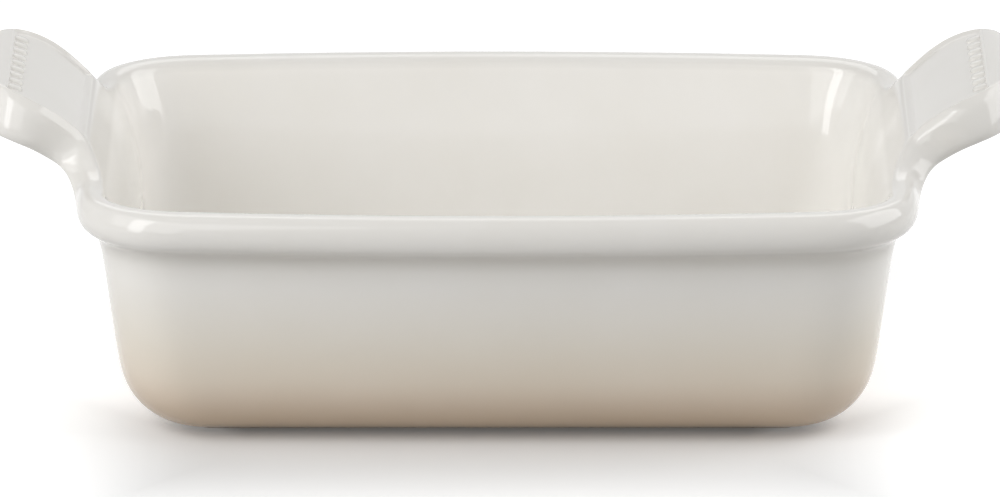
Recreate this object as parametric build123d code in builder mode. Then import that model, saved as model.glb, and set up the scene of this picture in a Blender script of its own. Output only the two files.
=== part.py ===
"""A deep stoneware lasagna dish: a glazed rectangular basin with a thick rim and two raised tab handles.

The origin is under the middle of the dish, on the table. +X runs along the long sides and +Z is up.
Lengths are in millimetres.
"""
from build123d import *
from math import acos, cos, radians, sin, sqrt, tan
import os

os.makedirs("parts", exist_ok=True)

# Whole dish
rim_length = 310.0  # over the rim's outer faces, without the handles
rim_width = 231.0  # the same across, over the middle of the long sides
dish_height = 92.5  # table to the top of the rim
long_side_bow = 8.3  # rise of each long side's curve over the whole length, at the rim
base_bow = 0.3  # the same at the underside
base_draw_in = 3.7  # what the middle of a long side comes in by, from rim to base, beyond the draft
rim_corner_radius = 41.0  # in plan, on the rim's outer face

# Walls, floor and glaze
wall_draft_deg = 7.4
wall_thickness = 6.0
floor_thickness = 7.0
glaze_thickness = 0.5
base_edge_radius = 26.0  # the large round between the unglazed wall and the underside
base_corner_margin = 4.0  # how much larger the same wall's corners are there, in plan

# Rim
rim_overhang = 6.5  # outer face beyond the glazed wall, both taken at the rim's top
rim_top_outer_radius = 4.2
rim_lip_radius = 3.0  # inner edge of the mouth
rim_land_height = 0.5  # upright strip between the top outer round and the nose
rim_nose_radius = 14.0
rim_cove_radius = 7.0
rim_skirt_height = 1.5

# Bare foot under the glazed underside
foot_height = 1.2
foot_width = 7.0
foot_inset = 1.5  # from the edge of the flat underside
foot_corner_radius = 7.0
foot_inner_radius = 3.0

# Handles: a plate bent about an axis along Y, beyond the end of the rim
handle_curve_radius = 60.5  # upper face
handle_start_deg = 27.0  # angle about the axis where the upper face leaves the mouth
handle_start_inset = 11.2  # that place, inside the rim's outer face
handle_start_depth = 1.2  # and below the rim's top, in the round of the lip
handle_thickness = 14.5
handle_width = 99.0  # at the widest
handle_edge_radius = 4.5
root_depth = 9.0  # foot of the root below the rim's top
root_inset = 11.0  # inner face of the root, inside the rim's outer face
root_proud = 0.5  # outer face of the root beyond the rim's outer face
root_width = 134.0
# Each row is a section: its angle about the axis, and its width and thickness as shares of the
# handle's own. The root flares into the rim below the first row of the tab.
root_section_shares = ((handle_start_deg, 1.15, 0.98), (31.0, 1.03, 1.0), (36.0, 0.96, 1.0))
tab_section_shares = (
    (36.0, 0.96, 1.0),
    (44.0, 0.935, 1.0),
    (51.0, 0.965, 1.0),
    (58.0, 0.995, 1.0),
    (65.0, 0.98, 1.0),
    (71.0, 0.92, 1.0),
    (76.0, 0.83, 1.0),
    (79.5, 0.72, 0.97),
    (82.0, 0.62, 0.78),
)

# Framed panel and reeding on each handle
panel_depth = 1.3
panel_width = 82.0
panel_inner_deg = 42.0  # its edges, as angles about the handle's axis
panel_outer_deg = 74.0
panel_inner_corner = 5.0
panel_outer_corner = 14.0
reed_count = 9
reed_pitch = 8.0
reed_radius = 3.2
reed_length = 6.0
reed_proud = 1.1  # above the panel's floor
reed_deg = 71.0  # angle of the row about the handle's axis

overrun = 6.0  # how far cutting forms run past what they cut

# Worked out from the sizes above
draft_angle = radians(wall_draft_deg)
draft = tan(draft_angle)
side_glaze = glaze_thickness / cos(draft_angle)  # glaze on the drafted walls, measured level
half_length = rim_length / 2
half_width = rim_width / 2
underside = foot_height
biscuit_floor = underside + glaze_thickness
cavity_floor = biscuit_floor + floor_thickness
liner_floor = cavity_floor + glaze_thickness
wall_level = wall_thickness / cos(draft_angle)
base_corner_radius = base_edge_radius + base_corner_margin
floor_edge_radius = base_edge_radius - wall_thickness
rim_face_height = rim_top_outer_radius + rim_land_height

# The unglazed wall's outer face, where it would reach the rim's top, and the other skins from it
biscuit_line = -rim_overhang - side_glaze
cavity_line = biscuit_line - wall_level
liner_line = cavity_line - side_glaze

# The rim's nose and cove meet where both slope alike, and the cove ends on the wall's own slope
turn_share = (
    cos(draft_angle) * (rim_nose_radius - rim_overhang - rim_face_height * draft)
    + rim_cove_radius
) / (rim_nose_radius + rim_cove_radius)
turn_angle = acos(turn_share) + draft_angle
cove_drop = (
    rim_face_height
    + (rim_nose_radius + rim_cove_radius) * sin(turn_angle)
    - rim_cove_radius * sin(draft_angle)
)
rim_seat = dish_height - cove_drop - rim_skirt_height
bow_radius = (half_length**2 + long_side_bow**2) / (2 * long_side_bow)


def rim_plan(z, grow):
    """The rim's outer outline moved evenly by a distance, flat at a height."""
    length = half_length + grow
    middle = half_width + grow
    radius = bow_radius + grow
    corner_y = middle - radius + sqrt(radius**2 - length**2)
    with BuildSketch(Plane.XY.offset(z)) as plan:
        with BuildLine():
            ThreePointArc((-length, corner_y), (0, middle), (length, corner_y))
            Line((length, corner_y), (length, -corner_y))
            ThreePointArc((length, -corner_y), (0, -middle), (-length, -corner_y))
            Line((-length, -corner_y), (-length, corner_y))
        make_face()
        fillet(plan.vertices(), radius=rim_corner_radius + grow)
    return plan.sketch


def base_plan(z, line):
    """The outline at the dish's underside, nearly straight-sided, for one skin of the wall."""
    inward = line - (dish_height - z) * draft
    length = half_length + inward
    middle = half_width - base_draw_in + inward
    corner_y = middle - base_bow
    with BuildSketch(Plane.XY.offset(z)) as plan:
        with BuildLine():
            ThreePointArc((-length, corner_y), (0, middle), (length, corner_y))
            Line((length, corner_y), (length, -corner_y))
            ThreePointArc((length, -corner_y), (0, -middle), (-length, -corner_y))
            Line((-length, -corner_y), (-length, corner_y))
        make_face()
        fillet(plan.vertices(), radius=base_corner_radius + line - biscuit_line)
    return plan.sketch


def tub(floor_z, line, edge_radius):
    """A solid tub up to the rim's seat, for one skin of the wall, rounded along its base edge."""
    seat_line = line - (dish_height - rim_seat) * draft
    with BuildPart() as form:
        loft(sections=[base_plan(floor_z, line), rim_plan(rim_seat, seat_line)], ruled=True)
        fillet(form.faces().sort_by(Axis.Z)[0].edges(), radius=edge_radius)
    return form.part


glazed_outside = tub(underside, biscuit_line + side_glaze, base_edge_radius + glaze_thickness)
biscuit_outside = tub(biscuit_floor, biscuit_line, base_edge_radius)
cavity = tub(cavity_floor, cavity_line, floor_edge_radius)
liner_cavity = tub(liner_floor, liner_line, floor_edge_radius - glaze_thickness)

with BuildPart() as basin:
    add(biscuit_outside)
    add(cavity, mode=Mode.SUBTRACT)
basin.part.label = "basin"
export_step(basin.part, "parts/basin.step")

with BuildPart() as footprint:
    flat = glazed_outside.faces().sort_by(Axis.Z)[0].bounding_box().size
    foot_length = flat.X - 2 * foot_inset
    foot_across = flat.Y - 2 * foot_inset
    with BuildSketch():
        RectangleRounded(foot_length, foot_across, foot_corner_radius)
    extrude(amount=biscuit_floor)

with BuildPart() as foot_ring:
    add(footprint.part)
    with BuildSketch():
        RectangleRounded(
            foot_length - 2 * foot_width, foot_across - 2 * foot_width, foot_inner_radius
        )
    extrude(amount=biscuit_floor, mode=Mode.SUBTRACT)
foot_ring.part.label = "foot_ring"
export_step(foot_ring.part, "parts/foot_ring.step")

with BuildPart() as outer_glaze:
    add(glazed_outside)
    add(biscuit_outside, mode=Mode.SUBTRACT)
    add(footprint.part, mode=Mode.SUBTRACT)
outer_glaze.part.label = "outer_glaze"
export_step(outer_glaze.part, "parts/outer_glaze.step")

with BuildPart() as inner_glaze:
    add(cavity)
    add(liner_cavity, mode=Mode.SUBTRACT)
inner_glaze.part.label = "inner_glaze"
export_step(inner_glaze.part, "parts/inner_glaze.step")

rim_path = rim_plan(dish_height, 0).wires()[0]
rim_start = rim_path @ 0
rim_outward = (rim_path % 0).cross(Vector(0, 0, 1))
if rim_outward.dot(rim_start) < 0:
    rim_outward = rim_outward * -1
rim_section = Plane(
    origin=rim_start, x_dir=rim_outward, z_dir=rim_outward.cross(Vector(0, 0, 1))
)


def nose_point(angle):
    """A point on the rim's convex nose, by how far it has turned from upright."""
    return (
        rim_nose_radius * (cos(angle) - 1),
        -rim_face_height - rim_nose_radius * sin(angle),
    )


def cove_point(angle):
    """A point on the rim's hollow cove, by how far it still leans from upright."""
    centre_x = (rim_nose_radius + rim_cove_radius) * cos(turn_angle) - rim_nose_radius
    centre_z = -rim_face_height - (rim_nose_radius + rim_cove_radius) * sin(turn_angle)
    return (centre_x - rim_cove_radius * cos(angle), centre_z + rim_cove_radius * sin(angle))


with BuildPart() as rim_band:
    seat_drop = dish_height - rim_seat
    with BuildSketch(rim_section):
        with BuildLine():
            nose_end = nose_point(turn_angle)
            skirt_top = cove_point(draft_angle)
            skirt_foot = (-rim_overhang - seat_drop * draft, -seat_drop)
            wall_foot = (liner_line - seat_drop * draft, -seat_drop)
            ThreePointArc((0, -rim_face_height), nose_point(turn_angle / 2), nose_end)
            ThreePointArc(nose_end, cove_point((turn_angle + draft_angle) / 2), skirt_top)
            Line(skirt_top, skirt_foot)
            Line(skirt_foot, wall_foot)
            FilletPolyline(
                wall_foot, (liner_line, 0), (-rim_top_outer_radius, 0), radius=rim_lip_radius
            )
            RadiusArc((-rim_top_outer_radius, 0), (0, -rim_top_outer_radius), rim_top_outer_radius)
            Line((0, -rim_top_outer_radius), (0, -rim_face_height))
        make_face()
    sweep(path=rim_path)
rim_band.part.label = "rim_band"
export_step(rim_band.part, "parts/rim_band.step")

bend_x = half_length - handle_start_inset + handle_curve_radius * cos(radians(handle_start_deg))
bend_z = dish_height - handle_start_depth - handle_curve_radius * sin(radians(handle_start_deg))


def bend_plane(angle_deg, radius):
    """A plane square to the handle's curve: local X runs along the dish's Y, local Y outward."""
    angle = radians(angle_deg)
    return Plane(
        origin=(bend_x - radius * cos(angle), 0, bend_z + radius * sin(angle)),
        x_dir=(0, 1, 0),
        z_dir=(sin(angle), 0, cos(angle)),
    )


with BuildPart() as panel_space:
    panel_inner_x = bend_x - handle_curve_radius * cos(radians(panel_inner_deg))
    panel_outer_x = bend_x - handle_curve_radius * cos(radians(panel_outer_deg))
    panel_centre = ((panel_inner_x + panel_outer_x) / 2, 0, bend_z)
    with BuildSketch(Plane(origin=panel_centre)) as panel_plan:
        Rectangle(panel_outer_x - panel_inner_x, panel_width)
        corners = panel_plan.vertices().sort_by(Axis.X)
        fillet(corners[:2], radius=panel_inner_corner)
        fillet(corners[2:], radius=panel_outer_corner)
    extrude(amount=handle_curve_radius + overrun)
    with Locations(Location((bend_x, 0, bend_z), (90, 0, 0))):
        Cylinder(handle_curve_radius - panel_depth, handle_width, mode=Mode.SUBTRACT)

with BuildPart() as reeds:
    reed_centre = handle_curve_radius - panel_depth + reed_proud - reed_radius
    with Locations(bend_plane(reed_deg, reed_centre)):
        with GridLocations(reed_pitch, reed_pitch, reed_count, 1):
            Cylinder(reed_radius, reed_length)


def handle_section(angle_deg, width_share, thickness_share):
    """One rounded section across the handle, square to its curve."""
    middle = handle_curve_radius - handle_thickness / 2
    with BuildSketch(bend_plane(angle_deg, middle)) as section:
        RectangleRounded(
            handle_width * width_share, handle_thickness * thickness_share, handle_edge_radius
        )
    return section.sketch


with BuildPart() as right_handle:
    root_thickness = root_inset + root_proud
    root_centre_x = half_length + (root_proud - root_inset) / 2
    root_plane = Plane(
        origin=(root_centre_x, 0, dish_height - root_depth), x_dir=(0, 1, 0), z_dir=(0, 0, 1)
    )
    with BuildSketch(root_plane) as root_foot:
        RectangleRounded(root_width, root_thickness, handle_edge_radius)
    root_sections = [handle_section(*shares) for shares in root_section_shares]
    loft(sections=[root_foot.sketch, *root_sections], ruled=True)
    loft(sections=[handle_section(*shares) for shares in tab_section_shares])
    add(panel_space.part, mode=Mode.SUBTRACT)
    add(reeds.part)
    add(rim_band.part, mode=Mode.SUBTRACT)
right_handle.part.label = "right_handle"
export_step(right_handle.part, "parts/right_handle.step")

with BuildPart() as left_handle:
    mirror(right_handle.part, about=Plane.YZ)
left_handle.part.label = "left_handle"
export_step(left_handle.part, "parts/left_handle.step")
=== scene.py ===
# %% [markdown]
# # A glazed stoneware lasagna dish
# The CAD frame gives every size and place. This lesson dresses it: one smooth glazed skin for the
# basin, rim and handles, the small reeding on the handles, and the bare clay of the foot.

# %% Load the CAD frame
from math import asin, cos, radians, sin, sqrt, tan

import bmesh
import bpy
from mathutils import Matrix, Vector


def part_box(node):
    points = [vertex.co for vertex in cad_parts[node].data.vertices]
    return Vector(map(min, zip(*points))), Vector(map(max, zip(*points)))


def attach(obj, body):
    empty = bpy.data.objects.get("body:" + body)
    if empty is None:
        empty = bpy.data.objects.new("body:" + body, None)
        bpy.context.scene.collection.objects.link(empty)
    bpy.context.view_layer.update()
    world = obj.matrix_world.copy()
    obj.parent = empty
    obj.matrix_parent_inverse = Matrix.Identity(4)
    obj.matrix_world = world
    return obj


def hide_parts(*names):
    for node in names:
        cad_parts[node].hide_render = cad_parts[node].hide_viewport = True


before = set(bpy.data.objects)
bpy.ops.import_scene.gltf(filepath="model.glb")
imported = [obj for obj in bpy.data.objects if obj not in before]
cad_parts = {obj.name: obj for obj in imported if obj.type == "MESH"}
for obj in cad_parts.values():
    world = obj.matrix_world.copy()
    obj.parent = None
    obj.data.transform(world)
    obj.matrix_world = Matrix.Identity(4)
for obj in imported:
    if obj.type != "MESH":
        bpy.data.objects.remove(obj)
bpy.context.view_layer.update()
print("nodes:", sorted(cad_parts))

# %% [markdown]
# ## Sizes
# Blender works in metres. Whole sizes are read from the CAD nodes. What a box can't tell, such as a
# radius or a slope, is written here as the potter would measure it, in millimetres times MM.

# %% Read the sizes of the dish
MM = 0.001
rim_low, rim_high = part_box("rim_band")
half_length = rim_high[0]
half_width = rim_high[1]
rim_top = rim_high[2]
rim_seat = rim_low[2]
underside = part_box("outer_glaze")[0][2]
bare_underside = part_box("foot_ring")[1][2]
glaze = bare_underside - underside
floor_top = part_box("inner_glaze")[0][2] + glaze

draft_angle = radians(7.4)
draft = tan(draft_angle)
long_side_bow = 8.3 * MM
base_bow = 0.3 * MM
base_draw_in = 3.7 * MM
rim_corner_radius = 41 * MM
base_edge_radius = 26.5 * MM
base_corner_radius = 30.5 * MM
floor_edge_radius = 19.5 * MM
rim_overhang = 6.5 * MM
mouth_line = -13.56 * MM
print("rim", round(2 * half_length / MM, 1), "by", round(2 * half_width / MM, 1), "mm")

# %% [markdown]
# ## The outline of the dish
# Seen from above, the dish is a rounded rectangle whose long sides bow out. Each ring of the skin
# has the same stations around it, so that every ring joins the next with plain four-sided faces.
# The stations on the short ends crowd together where a handle's edges will grow.
#
# The smoothing at the end pulls each curved station a little way in, so the stations are first
# moved out by as much. Those on the flat ends, and the first ones round the corners, stay.

# %% Place the stations of one ring
end_shares = (0.0, 0.24, 0.46, 0.66, 0.80, 0.90, 1.0)
corner_steps = 6
long_side_shares = (0.94, 0.84, 0.7, 0.5, 0.26, 0.0)
near_end_share = 0.05
smoothing_pull = 1 / 6


def arc_angles(start, end, steps):
    """Evenly spaced angles from start to end, both kept."""
    return [start + (end - start) * step / steps for step in range(steps + 1)]


def against_smoothing(ring, flat_end):
    """Move out the stations that smoothing will pull in, up to the flat ends."""
    moved = []
    for before, point, after in zip(ring[-1:] + ring[:-1], ring, ring[1:] + ring[:1]):
        pull = (2 * point - before - after) * smoothing_pull
        moved.append(point + pull if abs(point.x) < flat_end else point)
    return moved


def outline(length, middle, bow, corner):
    """Stations round a bowed rounded rectangle, from the middle of the right end, anticlockwise."""
    bow_radius = (length**2 + bow**2) / (2 * bow)
    bow_centre = middle - bow_radius
    centre_x = length - corner
    centre_y = bow_centre + sqrt((bow_radius - corner) ** 2 - centre_x**2)
    lean = asin(centre_x / (bow_radius - corner))
    quarter = [Vector((length, share * centre_y, 0)) for share in end_shares]
    for angle in arc_angles(0, radians(90) - lean, corner_steps)[1:]:
        quarter.append(Vector((centre_x + corner * cos(angle), centre_y + corner * sin(angle), 0)))
    for share in long_side_shares:
        angle = share * lean
        x, y = bow_radius * sin(angle), bow_centre + bow_radius * cos(angle)
        quarter.append(Vector((x, y, 0)))
    left = [Vector((-point.x, point.y, 0)) for point in reversed(quarter[:-1])]
    upper = quarter + left
    lower = [Vector((point.x, -point.y, 0)) for point in reversed(upper[1:-1])]
    return against_smoothing(upper + lower, length - near_end_share * corner)


outermost = outline(half_length, half_width, long_side_bow, rim_corner_radius)
station_count = len(outermost)
print("stations:", station_count)

# %% [markdown]
# ## The rings of the skin
# A ring is an outline at one height, moved in from the rim's outermost face. At the rim it keeps an
# even distance. Below the rim the walls taper, lose their bow and gain tighter corners, so a wall's
# ring is a mix of the outline under the rim and the one at the underside.


# %% Make rings for the rim and for the walls
end_fade_start = 122 * MM
edge_steps = 5


def end_weight(station):
    """1 on the short ends, 0 on the long sides, and smoothly between round the corners."""
    x = abs(outermost[station].x)
    share = min(max((x - end_fade_start) / (half_length - end_fade_start), 0), 1)
    return share * share * (3 - 2 * share)


def grown_outline(outward):
    """The outline of the rim's outer face, moved out, or in for a number below zero."""
    return outline(
        half_length + outward, half_width + outward, long_side_bow, rim_corner_radius + outward
    )


def rim_ring(side_inward, end_inward, drop):
    """A ring of the rim: its insets on the sides and on the ends, and its drop below the top."""
    sides, ends = grown_outline(-side_inward * MM), grown_outline(-end_inward * MM)
    ring = []
    for station, (on_side, on_end) in enumerate(zip(sides, ends)):
        point = on_side.lerp(on_end, end_weight(station))
        ring.append(Vector((point.x, point.y, rim_top - drop * MM)))
    return ring


def wall_ring(line, height, inward=0.0):
    """A ring of a wall whose slope would meet the rim's top at a line, moved in for round edges."""
    seat_line = line - (rim_top - rim_seat) * draft - inward
    base_line = line - (rim_top - underside) * draft - inward
    upper = grown_outline(seat_line)
    lower = outline(
        half_length + base_line,
        half_width - base_draw_in + base_line,
        base_bow,
        base_corner_radius + line + rim_overhang - inward,
    )
    share = (rim_seat - height) / (rim_seat - underside)
    return [Vector((*high.lerp(low, share).to_2d(), height)) for high, low in zip(upper, lower)]


def round_edge(line, level, radius):
    """Rings round the edge between a level face and the wall above it, from the flat outwards."""
    rings = []
    for angle in arc_angles(0, radians(90) - draft_angle, edge_steps):
        height = level + radius * (1 - cos(angle))
        inward = radius * (1 / cos(draft_angle) - sin(angle) - cos(angle) * draft)
        rings.append(wall_ring(line, height, inward))
    return rings


# %% [markdown]
# ## The profile, from the floor over the rim to the underside
# The skin is one closed surface, so one list of rings can describe it: the floor inside, the round
# up to the wall, the wall, the rim's soft top and nose, the cove under it, the outer wall and the
# large round of the base.
#
# Each row of the rim is read off the rim's section: an inset on the long sides, an inset on the
# short ends, and a drop, all in millimetres. The mouth flares a little at the ends, so there the
# insets shrink faster towards the top. The rows of `handle_rows` are the part of the rim that a
# handle grows from. Below the mouth the inner wall leans in a little. Each pair of
# `inner_wall_leans` is a share of the way up to the rim's seat and a lean in millimetres.

# %% List the rings
floor_margin = 4 * MM
foot_middle_inset = 5 * MM
foot_step_width = 0.6 * MM
clay_share = 0.8
inner_wall_leans = ((0.55, 0.9), (0.745, 1.85), (0.86, 2.0), (0.945, 1.8), (1.0, 1.5))
outer_wall_shares = (0.93, 0.75, 0.55)

inside = round_edge(mouth_line, floor_top, floor_edge_radius)
floor_ring = wall_ring(
    mouth_line, floor_top, floor_edge_radius * (1 / cos(draft_angle) - draft) + floor_margin
)
inside += [wall_ring(mouth_line, share * rim_seat, lean * MM) for share, lean in inner_wall_leans]
mouth_rows = [(16.3, 16.2, 15.0), (14.75, 13.6, 8.0), (13.9, 11.7, 4.0)]
handle_rows = [
    (13.1, 10.4, 1.5),
    (10.9, 8.2, 0.1),
    (7.2, 5.7, -0.3),
    (3.8, 3.3, 0.0),
    (1.7, 1.6, 2.2),
    (0.2, 0.2, 6.0),
    (0.4, 0.4, 9.8),
]
nose_rows = [(1.9, 1.9, 12.9), (5.4, 5.4, 14.9), (7.9, 7.9, 17.4), (9.1, 9.1, 22.0)]
rim = [rim_ring(*row) for row in mouth_rows + handle_rows + nose_rows]
first_handle_ring = len(inside) + len(mouth_rows)
last_row = len(handle_rows) - 1
last_handle_ring = first_handle_ring + last_row

glaze_line = -rim_overhang
outside = [wall_ring(glaze_line, share * rim_seat) for share in outer_wall_shares]
outside += reversed(round_edge(glaze_line, underside, base_edge_radius))
flat_inset = base_edge_radius * (1 / cos(draft_angle) - draft)
foot_ring_inset = flat_inset + foot_middle_inset
outside += [wall_ring(glaze_line, underside, foot_ring_inset)]
first_bare_ring = len(inside) + len(rim) + len(outside)
outside += [
    wall_ring(glaze_line, bare_underside, foot_ring_inset + step * foot_step_width)
    for step in (1, 2)
]
outside.append(
    [Vector((point.x * clay_share, point.y * clay_share, point.z)) for point in outside[-1]]
)
rings = inside + rim + outside
print("rings:", len(rings))

# %% [markdown]
# ## Raise the skin ring by ring
# A disc with one corner per station is the dish's floor. Extruding it and placing its corners on
# the next ring, again and again, raises the walls and folds them over the rim and back under the
# dish. Each corner carries small numbers in layers: its station, its ring, and whether it is on the
# inside. The handles use two more, for their section and for the place across their width.

# %% Model the dish
whole_layers = ("station", "ring", "section")
share_layers = ("across", "inner")


def layers_of(cage):
    """The corners' layers of small numbers, by name."""
    layers = {name: cage.verts.layers.int[name] for name in whole_layers}
    layers.update({name: cage.verts.layers.float[name] for name in share_layers})
    return layers


bpy.ops.object.select_all(action="DESELECT")
bpy.ops.mesh.primitive_circle_add(vertices=station_count, radius=half_width, fill_type="NGON")
skin = bpy.context.object
skin.name = "glazed_skin"
bpy.ops.object.mode_set(mode="EDIT")
cage = bmesh.from_edit_mesh(skin.data)
for name in whole_layers:
    cage.verts.layers.int.new(name)
for name in share_layers:
    cage.verts.layers.float.new(name)
layers = layers_of(cage)
for station, corner in enumerate(cage.verts):
    corner[layers["station"]] = station
    corner[layers["ring"]] = -1
    corner[layers["inner"]] = 1.0
    corner.co = floor_ring[station]
bmesh.update_edit_mesh(skin.data)

for number, ring in enumerate(rings):
    bpy.ops.mesh.extrude_region_move()
    cage = bmesh.from_edit_mesh(skin.data)
    layers = layers_of(cage)
    for corner in cage.verts:
        if corner.select:
            corner[layers["ring"]] = number
            corner[layers["inner"]] = float(number < first_handle_ring)
            corner.co = ring[corner[layers["station"]]]
    bmesh.update_edit_mesh(skin.data)

for face in cage.faces:
    if all(corner[layers["ring"]] >= first_bare_ring for corner in face.verts):
        face.material_index = 1
bmesh.update_edit_mesh(skin.data)
print("faces after the rings:", len(cage.faces))

# %% [markdown]
# ## Grow the handles out of the rim
# On the real dish each handle is pressed with the rim, so here it is extruded from the rim's own
# faces. Its sections stand on a curve about an axis beyond the dish. Each row below is a section:
# its angle about that axis, its width as a share of the handle's own, where its upper and lower
# faces lie as shares of the thickness, and how far it still keeps to the rim's form.
#
# The lists after it have one value for each row of `handle_rows`, from the top of the rim down. At
# a handle's two long edges the insets round the edge off and tip the side a little upwards, and
# the droops lower it.

# %% Extrude both handles
handle_curve_radius = 60.5 * MM
handle_thickness = 14.5 * MM
handle_width = 99 * MM
handle_start_angle = radians(27)
handle_start_inset = 11.2 * MM
handle_start_drop = 1.2 * MM
bend_x = half_length - handle_start_inset + handle_curve_radius * cos(handle_start_angle)
bend_z = rim_top - handle_start_drop - handle_curve_radius * sin(handle_start_angle)
root_half_width = 69.9 * MM
root_margin = 1 * MM
root_depth = 15 * MM
handle_section_shares = (
    (29.3, 1.20, 0.055, 0.855, 0.6),
    (34.5, 1.06, 0.03, 0.85, 0.12),
    (38.0, 1.0, 0.0, 0.9, 0.0),
    (40.5, 0.96, 0.0, 0.95, 0.0),
    (45.0, 0.94, 0.0, 1.03, 0.0),
    (50.0, 0.955, 0.0, 1.08, 0.0),
    (55.0, 0.98, 0.0, 1.1, 0.0),
    (60.0, 0.998, 0.0, 1.13, 0.0),
    (65.0, 0.985, 0.0, 1.16, 0.0),
    (70.0, 0.955, 0.0, 1.18, 0.0),
    (74.5, 0.895, 0.0, 1.18, 0.0),
    (77.5, 0.825, 0.0, 1.16, 0.0),
    (80.0, 0.74, 0.03, 1.08, 0.0),
    (81.8, 0.66, 0.1, 0.95, 0.0),
)
side_inset = [inset * MM for inset in (3.6, 2.0, 1.2, 0.6, 0.1, 0.0, 1.4)]
side_droop = [drop * MM for drop in (1.1, 0.2, 0.0, 0.0, 0.0, 0.0, 0.2)]
rim_blend_shares = (0.0, 0.8, 1.0, 1.0, 1.0, 0.8, 0.5)
roll_rise = 1.6 * MM
edge_across = 0.95


def handle_place(side, section, across, row):
    """A point of a handle's section: across its width from -1 to 1, in a row of the rim's face."""
    angle, width_share, upper_share, lower_share, rim_share = section
    down = upper_share + (lower_share - upper_share) * row / last_row
    radius = handle_curve_radius - down * handle_thickness
    reach = width_share * handle_width / 2
    if abs(across) > edge_across:
        reach -= side_inset[row] * (1 - rim_share)
        radius -= side_droop[row] * (1 - rim_share)
    end_inward, drop = handle_rows[row][1:]
    rise = roll_rise if row < last_row else 0
    on_rim = Vector((half_length - end_inward * MM, 0, rim_top + rise - drop * MM))
    turn = radians(angle)
    on_curve = Vector((bend_x - radius * cos(turn), 0, bend_z + radius * sin(turn)))
    place = on_curve.lerp(on_rim, rim_share * rim_blend_shares[row])
    return Vector((side * place.x, across * reach, place.z))


def grow_handle(side):
    """Pick the rim's faces at one end and extrude them along the handle's curve."""
    bpy.ops.mesh.select_all(action="DESELECT")
    cage = bmesh.from_edit_mesh(skin.data)
    layers = layers_of(cage)
    for face in cage.faces:
        face.select = all(
            first_handle_ring <= corner[layers["ring"]] <= last_handle_ring
            and abs(corner.co.y) < root_half_width + root_margin
            and corner.co.x * side > half_length - root_depth
            for corner in face.verts
        )
        if face.select:
            for corner in face.verts:
                corner[layers["across"]] = corner.co.y / root_half_width
    bmesh.update_edit_mesh(skin.data)
    for number, section in enumerate(handle_section_shares, start=1):
        bpy.ops.mesh.extrude_region_move()
        cage = bmesh.from_edit_mesh(skin.data)
        layers = layers_of(cage)
        for corner in cage.verts:
            if corner.select:
                row = corner[layers["ring"]] - first_handle_ring
                corner[layers["section"]] = number
                corner.co = handle_place(side, section, corner[layers["across"]], row)
        bmesh.update_edit_mesh(skin.data)


bpy.ops.mesh.select_mode(type="FACE")
for side in (-1, 1):
    grow_handle(side)
bpy.ops.mesh.select_all(action="SELECT")
bpy.ops.mesh.normals_make_consistent(inside=False)
print("faces with handles:", len(bmesh.from_edit_mesh(skin.data).faces))

# %% [markdown]
# ## Sink a framed panel into each handle
# The top of each handle has a shallow panel with a raised frame. Three insets do it: a narrow one
# that keeps the frame's edge crisp, a second that slopes down to the panel's floor, and a third
# that keeps the floor flat. Each is a width in millimetres and a depth.

# %% Inset the panels
panel_depth = 1.3 * MM
panel_sections = (4, 11)
panel_across = 0.91
panel_insets = ((0.4, 0.0), (1.7, -panel_depth), (1.7, 0.0))
bpy.ops.mesh.select_all(action="DESELECT")
cage = bmesh.from_edit_mesh(skin.data)
layers = layers_of(cage)
for face in cage.faces:
    face.select = all(
        corner[layers["ring"]] == first_handle_ring
        and panel_sections[0] <= corner[layers["section"]] <= panel_sections[1]
        and abs(corner[layers["across"]]) <= panel_across
        for corner in face.verts
    )
bmesh.update_edit_mesh(skin.data)
for width, depth in panel_insets:
    bpy.ops.mesh.inset(thickness=width * MM, depth=depth)
bpy.ops.object.mode_set(mode="OBJECT")
print("panel insets:", len(panel_insets))

# %% [markdown]
# ## Let the glaze smooth it
# Glaze and slip soften every edge of a fired dish. A subdivision surface does the same to the cage,
# and it fillets the handles into the rim by itself.

# %% Smooth the skin
smooth_levels = 2
smooth = skin.modifiers.new("smooth", "SUBSURF")
smooth.levels = smooth_levels
smooth.render_levels = smooth_levels
bpy.context.view_layer.objects.active = skin
bpy.ops.object.modifier_apply(modifier="smooth")
bpy.ops.object.select_all(action="DESELECT")
skin.select_set(True)
bpy.ops.object.shade_smooth()
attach(skin, "root")
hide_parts("basin", "rim_band", "left_handle", "right_handle", "inner_glaze", "outer_glaze")
print("triangles in the skin:", sum(len(face.vertices) - 2 for face in skin.data.polygons))

# %% [markdown]
# ## The reeding
# Across the outer end of each panel runs a row of short raised bars that help a gloved hand to
# grip. Each bar is a bevelled block half sunk in the panel, and the bars are made one by one along
# the row.

# %% Model the bars one by one along the row and join the row
reed_count = 9
reed_pitch = 8 * MM
reed_size = Vector((6.2, 5.0, 3.6)) * MM
reed_proud = 1.0 * MM
reed_angle = radians(70.6)
reed_edge = 1.7 * MM
reed_edge_segments = 4


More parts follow.
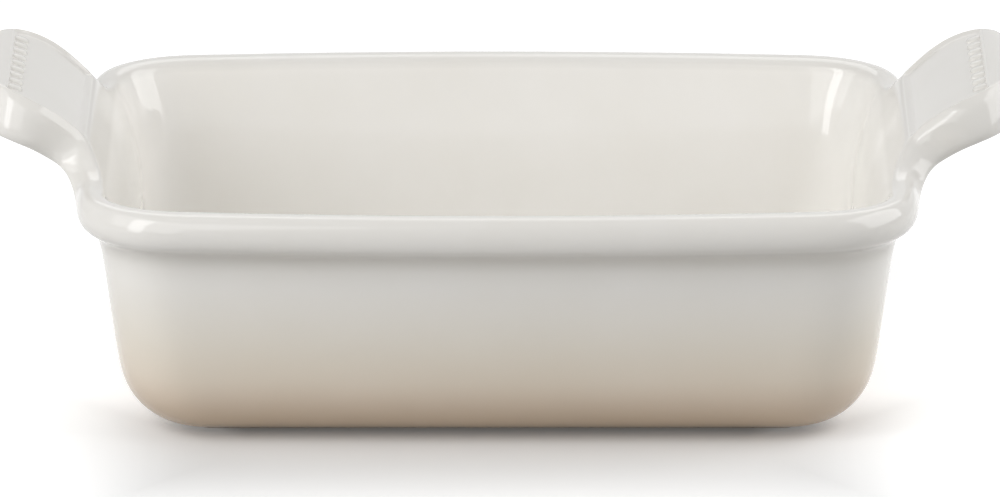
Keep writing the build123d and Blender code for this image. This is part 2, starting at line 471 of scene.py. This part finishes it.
def reed_row(side, name):
    """One handle's row of bars, joined into one piece."""
    radius = handle_curve_radius - panel_depth + reed_proud - reed_size.z / 2
    x = side * (bend_x - radius * cos(reed_angle))
    z = bend_z + radius * sin(reed_angle)
    bars = []
    for number in range(reed_count):
        y = (number - (reed_count - 1) / 2) * reed_pitch
        bpy.ops.object.select_all(action="DESELECT")
        bpy.ops.mesh.primitive_cube_add(
            size=1,
            location=(x, y, z),
            rotation=(0, -side * (radians(90) - reed_angle), 0),
            scale=reed_size,
        )
        bpy.ops.object.transform_apply(location=True, rotation=True, scale=True)
        bar = bpy.context.object
        soften = bar.modifiers.new("soften", "BEVEL")
        soften.width = reed_edge
        soften.segments = reed_edge_segments
        bpy.ops.object.modifier_apply(modifier="soften")
        bars.append(bar)
    bpy.ops.object.select_all(action="DESELECT")
    for bar in bars:
        bar.select_set(True)
    bpy.context.view_layer.objects.active = bars[0]
    bpy.ops.object.join()
    bpy.ops.object.shade_smooth()
    row = bpy.context.object
    row.name = name
    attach(row, "root")
    return row


left_reeding = reed_row(-1, "left_reeding")
right_reeding = reed_row(1, "right_reeding")
print("faces in the rows:", [len(row.data.polygons) for row in (left_reeding, right_reeding)])

# %% [markdown]
# ## Tools for the materials
# Both materials, the table and the sky are small trees of nodes. These helpers add one node each,
# so that the trees read like sums. Every pattern uses the object's own coordinates, in metres.


# %% Make the helpers
noise_span = (0.3, 0.7)
mix_inputs = (0, 6, 7)
mix_output = 2


def shader(name):
    """A new material, its tree and its Principled shader."""
    material = bpy.data.materials.new(name)
    material.use_nodes = True
    return material, material.node_tree, material.node_tree.nodes["Principled BSDF"]


def feed(tree, socket, value):
    """Give a socket another node's output or a plain value."""
    if isinstance(value, bpy.types.NodeSocket):
        tree.links.new(value, socket)
    else:
        socket.default_value = value


def join(tree, operation, *values):
    """One maths node on outputs or numbers."""
    node = tree.nodes.new("ShaderNodeMath")
    node.operation = operation
    for socket, value in zip(node.inputs, values):
        feed(tree, socket, value)
    return node.outputs["Value"]


def mix(tree, first, second, amount, blend="MIX"):
    """Mix two colours. Each input is a value or another node's output."""
    node = tree.nodes.new("ShaderNodeMix")
    node.data_type = "RGBA"
    node.blend_type = blend
    for number, value in zip(mix_inputs, (amount, first, second)):
        feed(tree, node.inputs[number], value)
    return node.outputs[mix_output]


def map_range(tree, value, source, target=(0, 1), easing="LINEAR"):
    """Map a number from one span to another, and clamp it at both ends."""
    node = tree.nodes.new("ShaderNodeMapRange")
    node.interpolation_type = easing
    node.inputs["From Min"].default_value, node.inputs["From Max"].default_value = source
    node.inputs["To Min"].default_value, node.inputs["To Max"].default_value = target
    tree.links.new(value, node.inputs["Value"])
    return node.outputs["Result"]


def object_place(tree):
    """The object's own coordinates."""
    return tree.nodes.new("ShaderNodeTexCoord").outputs["Object"]


def along(tree, axis):
    """The object's own coordinate along one axis."""
    split = tree.nodes.new("ShaderNodeSeparateXYZ")
    tree.links.new(object_place(tree), split.inputs[0])
    return split.outputs[axis]


def noise(tree, scale, detail, low=0, high=1):
    """Soft noise, mapped between two values."""
    texture = tree.nodes.new("ShaderNodeTexNoise")
    texture.inputs["Scale"].default_value = scale
    texture.inputs["Detail"].default_value = detail
    tree.links.new(object_place(tree), texture.inputs["Vector"])
    return map_range(tree, texture.outputs["Fac"], noise_span, (low, high))


def bump(tree, surface, strength, distance, height):
    """Tilt the surface's normals by a pattern of heights."""
    node = tree.nodes.new("ShaderNodeBump")
    node.inputs["Strength"].default_value = strength
    node.inputs["Distance"].default_value = distance
    tree.links.new(height, node.inputs["Height"])
    tree.links.new(node.outputs["Normal"], surface.inputs["Normal"])


print("helpers ready")

# %% [markdown]
# ## Glaze
# The glaze is a glossy off-white. Inside it is a little lighter, which is painted light, and on the
# rim and the handles a little darker, which is painted shade. On the outer wall it shades by height
# into a warm sand at the base, as a sprayed second colour does, and a darker band of painted shade
# lies in the cove under the rim. The skin's own "inner" numbers keep the sand and the painted shade
# off the inside. A faint mottle stops the glaze from looking like plastic.

# %% Mix the glaze
white = (1, 1, 1, 1)
# Lighter than the cream: painted light on the inside.
painted_light_inner_cream = (0.90, 0.882, 0.847, 1)
cream = (0.875, 0.855, 0.817, 1)
# Darker band in the cove under the rim: painted shade.
painted_shade_cove_cream = (0.70, 0.675, 0.63, 1)
# Darker on the rim and the handles: painted shade.
painted_shade_rim_cream = (0.83, 0.812, 0.778, 1)
# Real cream-to-sand glaze up to 70 mm, then the painted shade of the cove and of the rim.
glaze_and_painted_shade_by_height = (
    (0.0, (0.60, 0.445, 0.30, 1)),
    (8 * MM, (0.66, 0.515, 0.37, 1)),
    (16 * MM, (0.725, 0.595, 0.47, 1)),
    (26 * MM, (0.785, 0.695, 0.58, 1)),
    (42 * MM, (0.825, 0.775, 0.685, 1)),
    (60 * MM, cream),
    (70 * MM, cream),
    (76 * MM, painted_shade_cove_cream),
    (80 * MM, painted_shade_rim_cream),
)
grade_top = glaze_and_painted_shade_by_height[-1][0]
mottle_colour = (0.98, 0.977, 0.968, 1)
mottle_scale, mottle_detail = 30, 3
gloss_scale, gloss_detail, smoothest, roughest = 40, 2, 0.05, 0.08
ripple_scale, ripple_detail, ripple_strength, ripple_distance = 45, 1, 0.03, 0.4 * MM

# One glaze: painted light inside, painted shade in the cove and on the rim and handles.
glaze_material, tree, surface = shader("cream_to_sand_glaze_painted_light_and_shade")
ramp = tree.nodes.new("ShaderNodeValToRGB")
ramp.color_ramp.interpolation = "B_SPLINE"
while len(ramp.color_ramp.elements) < len(glaze_and_painted_shade_by_height):
    ramp.color_ramp.elements.new(1.0)
for element, (level, colour) in zip(ramp.color_ramp.elements, glaze_and_painted_shade_by_height):
    element.position = level / grade_top
    element.color = colour
tree.links.new(map_range(tree, along(tree, "Z"), (0, grade_top)), ramp.inputs["Fac"])
inner = tree.nodes.new("ShaderNodeAttribute")
inner.attribute_name = "inner"
# The inside takes the lighter cream, which is painted light.
body_colour = mix(tree, ramp.outputs["Color"], painted_light_inner_cream, inner.outputs["Fac"])
mottle = mix(tree, white, mottle_colour, noise(tree, mottle_scale, mottle_detail))
tree.links.new(mix(tree, body_colour, mottle, 1.0, "MULTIPLY"), surface.inputs["Base Color"])
gloss = noise(tree, gloss_scale, gloss_detail, smoothest, roughest)
tree.links.new(gloss, surface.inputs["Roughness"])
ripple = noise(tree, ripple_scale, ripple_detail)
bump(tree, surface, ripple_strength, ripple_distance, ripple)
print("glaze:", len(tree.nodes), "nodes")

# %% [markdown]
# ## Bare clay
# The foot ring and the underside inside it are left without glaze, so that they don't stick to the
# kiln shelf. Bare stoneware is matt, a little grainy, and flecked with darker specks.

# %% Mix the bare clay
clay_dark = (0.56, 0.46, 0.34, 1)
clay_light = (0.66, 0.56, 0.43, 1)
grain_scale, grain_detail = 260, 5
fleck_colour = (0.36, 0.27, 0.19, 1)
fleck_scale = 420
fleck_rim = (0.12, 0.2)
clay_roughness = 0.82
tooth_scale, tooth_detail, tooth_strength, tooth_distance = 700, 4, 0.35, 0.3 * MM

clay_material, tree, surface = shader("bare_stoneware")
grain = mix(tree, clay_dark, clay_light, noise(tree, grain_scale, grain_detail))
flecks = tree.nodes.new("ShaderNodeTexVoronoi")
flecks.inputs["Scale"].default_value = fleck_scale
tree.links.new(object_place(tree), flecks.inputs["Vector"])
between_flecks = map_range(tree, flecks.outputs["Distance"], fleck_rim)
clay_colour = mix(tree, fleck_colour, grain, between_flecks)
tree.links.new(clay_colour, surface.inputs["Base Color"])
surface.inputs["Roughness"].default_value = clay_roughness
bump(tree, surface, tooth_strength, tooth_distance, noise(tree, tooth_scale, tooth_detail))

for material in (glaze_material, clay_material):
    skin.data.materials.append(material)
for row in (left_reeding, right_reeding):
    row.data.materials.append(glaze_material)
foot_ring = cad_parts["foot_ring"]
foot_ring.data.materials.clear()
foot_ring.data.materials.append(clay_material)
print("materials:", [material.name for material in skin.data.materials])

# %% [markdown]
# ## The white table
# The dish stands on a white sweep. Close to the dish the table mostly shows the light that reaches
# it, so that it keeps the dish's shadow. Further out to the sides and in front, and from nearer in
# behind the dish, it also glows, for the camera and in reflections alone. That takes it to a clean
# white without adding light to the dish.

# %% Lay the table
table_size = 12
table_lit = (0.60, 0.60, 0.60, 1)
table_seen = (0.76, 0.76, 0.76, 1)
beside_span = (100 * MM, 175 * MM)
in_front_span = (105 * MM, 200 * MM)
close_beside_span = (90 * MM, 140 * MM)
behind_span = (-90 * MM, -20 * MM)
far_glow = 0.45
near_glow = 0.07

bpy.ops.object.select_all(action="DESELECT")
bpy.ops.mesh.primitive_plane_add(size=table_size)
floor = bpy.context.object
floor.name = "floor"


def seen_or_reflected(tree):
    """1 for rays from the camera and for reflected and refracted ones, 0 for diffuse light."""
    path = tree.nodes.new("ShaderNodeLightPath")
    total = path.outputs["Is Camera Ray"]
    for name in ("Is Glossy Ray", "Is Transmission Ray"):
        total = join(tree, "MAXIMUM", total, path.outputs[name])
    return total


def distance_ramp(tree, axis, span, mirrored=True):
    """0 up to one place along an axis and 1 beyond another, on both sides or on one."""
    away = along(tree, axis)
    if mirrored:
        away = join(tree, "ABSOLUTE", away)
    return map_range(tree, away, span, easing="SMOOTHSTEP")


floor_material, tree, surface = shader("white_floor")
seen = seen_or_reflected(tree)
tree.links.new(mix(tree, table_lit, table_seen, seen), surface.inputs["Base Color"])
surface.inputs["Roughness"].default_value = 1.0
surface.inputs["Specular IOR Level"].default_value = 0.0
surface.inputs["Emission Color"].default_value = white
beside = distance_ramp(tree, "X", beside_span)
in_front = distance_ramp(tree, "Y", in_front_span)
close_beside = distance_ramp(tree, "X", close_beside_span)
behind = distance_ramp(tree, "Y", behind_span, mirrored=False)
round_the_back = join(tree, "MINIMUM", close_beside, behind)
far = join(tree, "MAXIMUM", join(tree, "MAXIMUM", beside, in_front), round_the_back)
glow = join(tree, "ADD", join(tree, "MULTIPLY", far, far_glow), near_glow)
tree.links.new(join(tree, "MULTIPLY", glow, seen), surface.inputs["Emission Strength"])
floor.data.materials.append(floor_material)
print("table:", len(tree.nodes), "nodes")

# %% [markdown]
# ## Light
# A broad soft box lights the dish from the front left. A tall narrow strip beside it leaves the
# bright streaks on the rim and in the far corner. Another broad box stands on the right, and a weak
# one behind. The sky is dim, and it is white only where the camera or a reflection sees it. Each
# lamp below has a name, a place, a width and height in metres, and a power in watts.

# %% Hang the lamps and light the sky
sky_level = 0.16
lamps = (
    ("strip_left", (-1.15, -0.87, 0.8), (0.45, 1.5), 7.8),
    ("key_left", (-1.3, -1.1, 1.2), (2.6, 1.8), 21.3),
    ("side_right", (1.5, -0.1, 1.0), (1.6, 1.6), 20.6),
    ("back", (0.0, 1.4, 1.3), (1.6, 0.8), 5.0),
)

world = bpy.data.worlds.new("pale_sky")
bpy.context.scene.world = world
world.use_nodes = True
tree = world.node_tree
sky = tree.nodes["Background"]
level = join(tree, "MAXIMUM", seen_or_reflected(tree), sky_level)
tree.links.new(level, sky.inputs["Strength"])
sky.inputs["Color"].default_value = white


def soft_lamp(name, place, size, watts):
    """A rectangular soft lamp that faces the dish."""
    light = bpy.data.lights.new(name, "AREA")
    light.shape = "RECTANGLE"
    light.size, light.size_y = size
    light.energy = watts
    lamp = bpy.data.objects.new(name, light)
    lamp.location = place
    aim = Vector((0, 0, rim_top / 2)) - lamp.location
    lamp.rotation_euler = aim.to_track_quat("-Z", "Y").to_euler()
    bpy.context.collection.objects.link(lamp)


for lamp in lamps:
    soft_lamp(*lamp)

# %% [markdown]
# ## Camera
# The picture was taken from a few metres away with a long lens, square to the long side and about
# 17 degrees above the table. `target_pixel` is where the middle of the dish falls in the picture.

# %% Place the camera
image_width = 1000
image_height = 497
view_elevation = radians(17)
view_distance = 4.5
pixels_per_metre = 2680
target_pixel = (497.5, 252.5)
sensor_width = 36

target = Vector((0, 0, rim_top / 2))
right = Vector((1, 0, 0))
up = Vector((0, sin(view_elevation), cos(view_elevation)))
forward = Vector((0, cos(view_elevation), -sin(view_elevation)))
across_pixels = image_width / 2 - target_pixel[0]
down_pixels = target_pixel[1] - image_height / 2
aim = target + (right * across_pixels + up * down_pixels) / pixels_per_metre
lens = bpy.data.cameras.new("camera")
lens.sensor_width = sensor_width
lens.lens = view_distance * pixels_per_metre / image_width * sensor_width
camera = bpy.data.objects.new("camera", lens)
camera.location = aim - forward * view_distance
camera.rotation_euler = forward.to_track_quat("-Z", "Y").to_euler()
bpy.context.collection.objects.link(camera)
bpy.context.scene.camera = camera
bpy.context.scene.view_settings.view_transform = "Standard"
print("lens", round(lens.lens), "mm")
